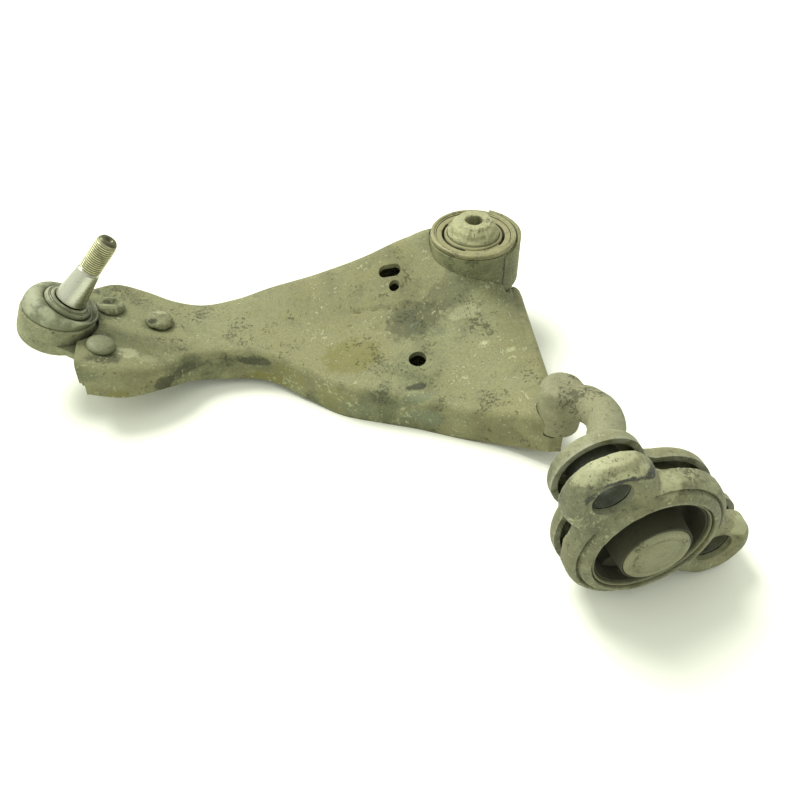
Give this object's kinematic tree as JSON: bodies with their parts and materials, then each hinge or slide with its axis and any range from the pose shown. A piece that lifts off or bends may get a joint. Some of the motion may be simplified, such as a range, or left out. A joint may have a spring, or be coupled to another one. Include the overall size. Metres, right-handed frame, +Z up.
{
  "type": "control arm",
  "caption": "Pressed steel wishbone arm with a riveted tapered ball joint, an upright rubber bush and a rear bush in a two-eared bracket.",
  "frame": {"origin": "middle of the underside of the bounding box, on the surface the arm lies on", "axes": "+Z up out of the arm; -X outboard, towards the ball joint; -Y along the pivot line, towards the rear bracket"},
  "size_m": [0.3868, 0.3414, 0.1214],
  "materials": {
    "painted_steel": "black stove enamel faded and covered with a film of dried olive mud",
    "bush_sleeve_steel": "phosphated steel sleeve under dried mud",
    "core_steel": "phosphated turned steel, dusty",
    "forged_steel": "as-forged steel under pale dust",
    "bracket_steel": "thick dark paint, chipped, with dried mud",
    "spacer_steel": "cut steel tube, lightly oxidised",
    "housing_steel": "forged housing, painted, dusty",
    "machined_steel": "turned and polished steel",
    "rivet_steel": "cold-headed rivet under paint and mud",
    "bush_rubber": "moulded rubber, dusty",
    "boot_rubber": "moulded dust boot, grey-green with dust",
    "seat_plastic": "moulded bearing plastic, greased"
  },
  "bodies": {
    "arm": {"arm_upper_shell": "painted_steel", "arm_lower_shell": "painted_steel", "front_bush_eye": "painted_steel", "front_bush_eye_wrap": "painted_steel", "front_bush_sleeve": "bush_sleeve_steel", "front_bush_rubber": "bush_rubber", "ball_housing": "housing_steel", "ball_seat": "seat_plastic", "ball_closing_cap": "machined_steel", "rivet_1": "rivet_steel", "rivet_2": "rivet_steel", "rivet_3": "rivet_steel", "rear_spigot": "forged_steel", "rear_bush_core": "core_steel", "rear_bush_cap": "core_steel"},
    "front_mount": {"front_bush_core": "core_steel"},
    "bracket": {"bracket_front_shell": "bracket_steel", "bracket_rear_shell": "bracket_steel", "bracket_spacer_1": "spacer_steel", "bracket_spacer_2": "spacer_steel", "rear_bush_can": "bracket_steel", "rear_bush_rubber": "bush_rubber"},
    "boot_waist": {"dust_boot_dome": "boot_rubber"},
    "boot_top": {"dust_boot_lip": "boot_rubber", "dust_boot_ring": "machined_steel"},
    "stud": {"ball_stud": "machined_steel"}
  },
  "joints": [
    {"name": "front_bush_twist", "type": "hinge", "parent": "arm", "child": "front_mount", "pos_m": [0.12221, 0.10358, 0.05465], "axis": [0, 0.9989, 0.0471], "range_deg": [-8, 8], "stiffness_Nm_per_rad": 20, "deforming": ["front_bush_rubber"]},
    {"name": "rear_bush_twist", "type": "hinge", "parent": "arm", "child": "bracket", "pos_m": [0.12371, -0.14095, 0.05151], "axis": [0, 0.9989, 0.0471], "range_deg": [-20, 20], "stiffness_Nm_per_rad": 40, "deforming": ["rear_bush_rubber"]},
    {"name": "stud_swing", "type": "hinge", "parent": "arm", "child": "boot_waist", "pos_m": [-0.16738, 0.12008, 0.05538], "axis": [0, 1, 0], "range_deg": [-40, 6], "deforming": ["dust_boot_dome", "dust_boot_lip"]},
    {"name": "stud_rock", "type": "hinge", "parent": "boot_waist", "child": "boot_top", "pos_m": [-0.16738, 0.12008, 0.05538], "axis": [0.7627, 0, -0.6468], "range_deg": [-15, 15]},
    {"name": "stud_spin", "type": "hinge", "parent": "boot_top", "child": "stud", "pos_m": [-0.16738, 0.12008, 0.05538], "axis": [0.6468, 0, 0.7627], "continuous": true}
  ]
}
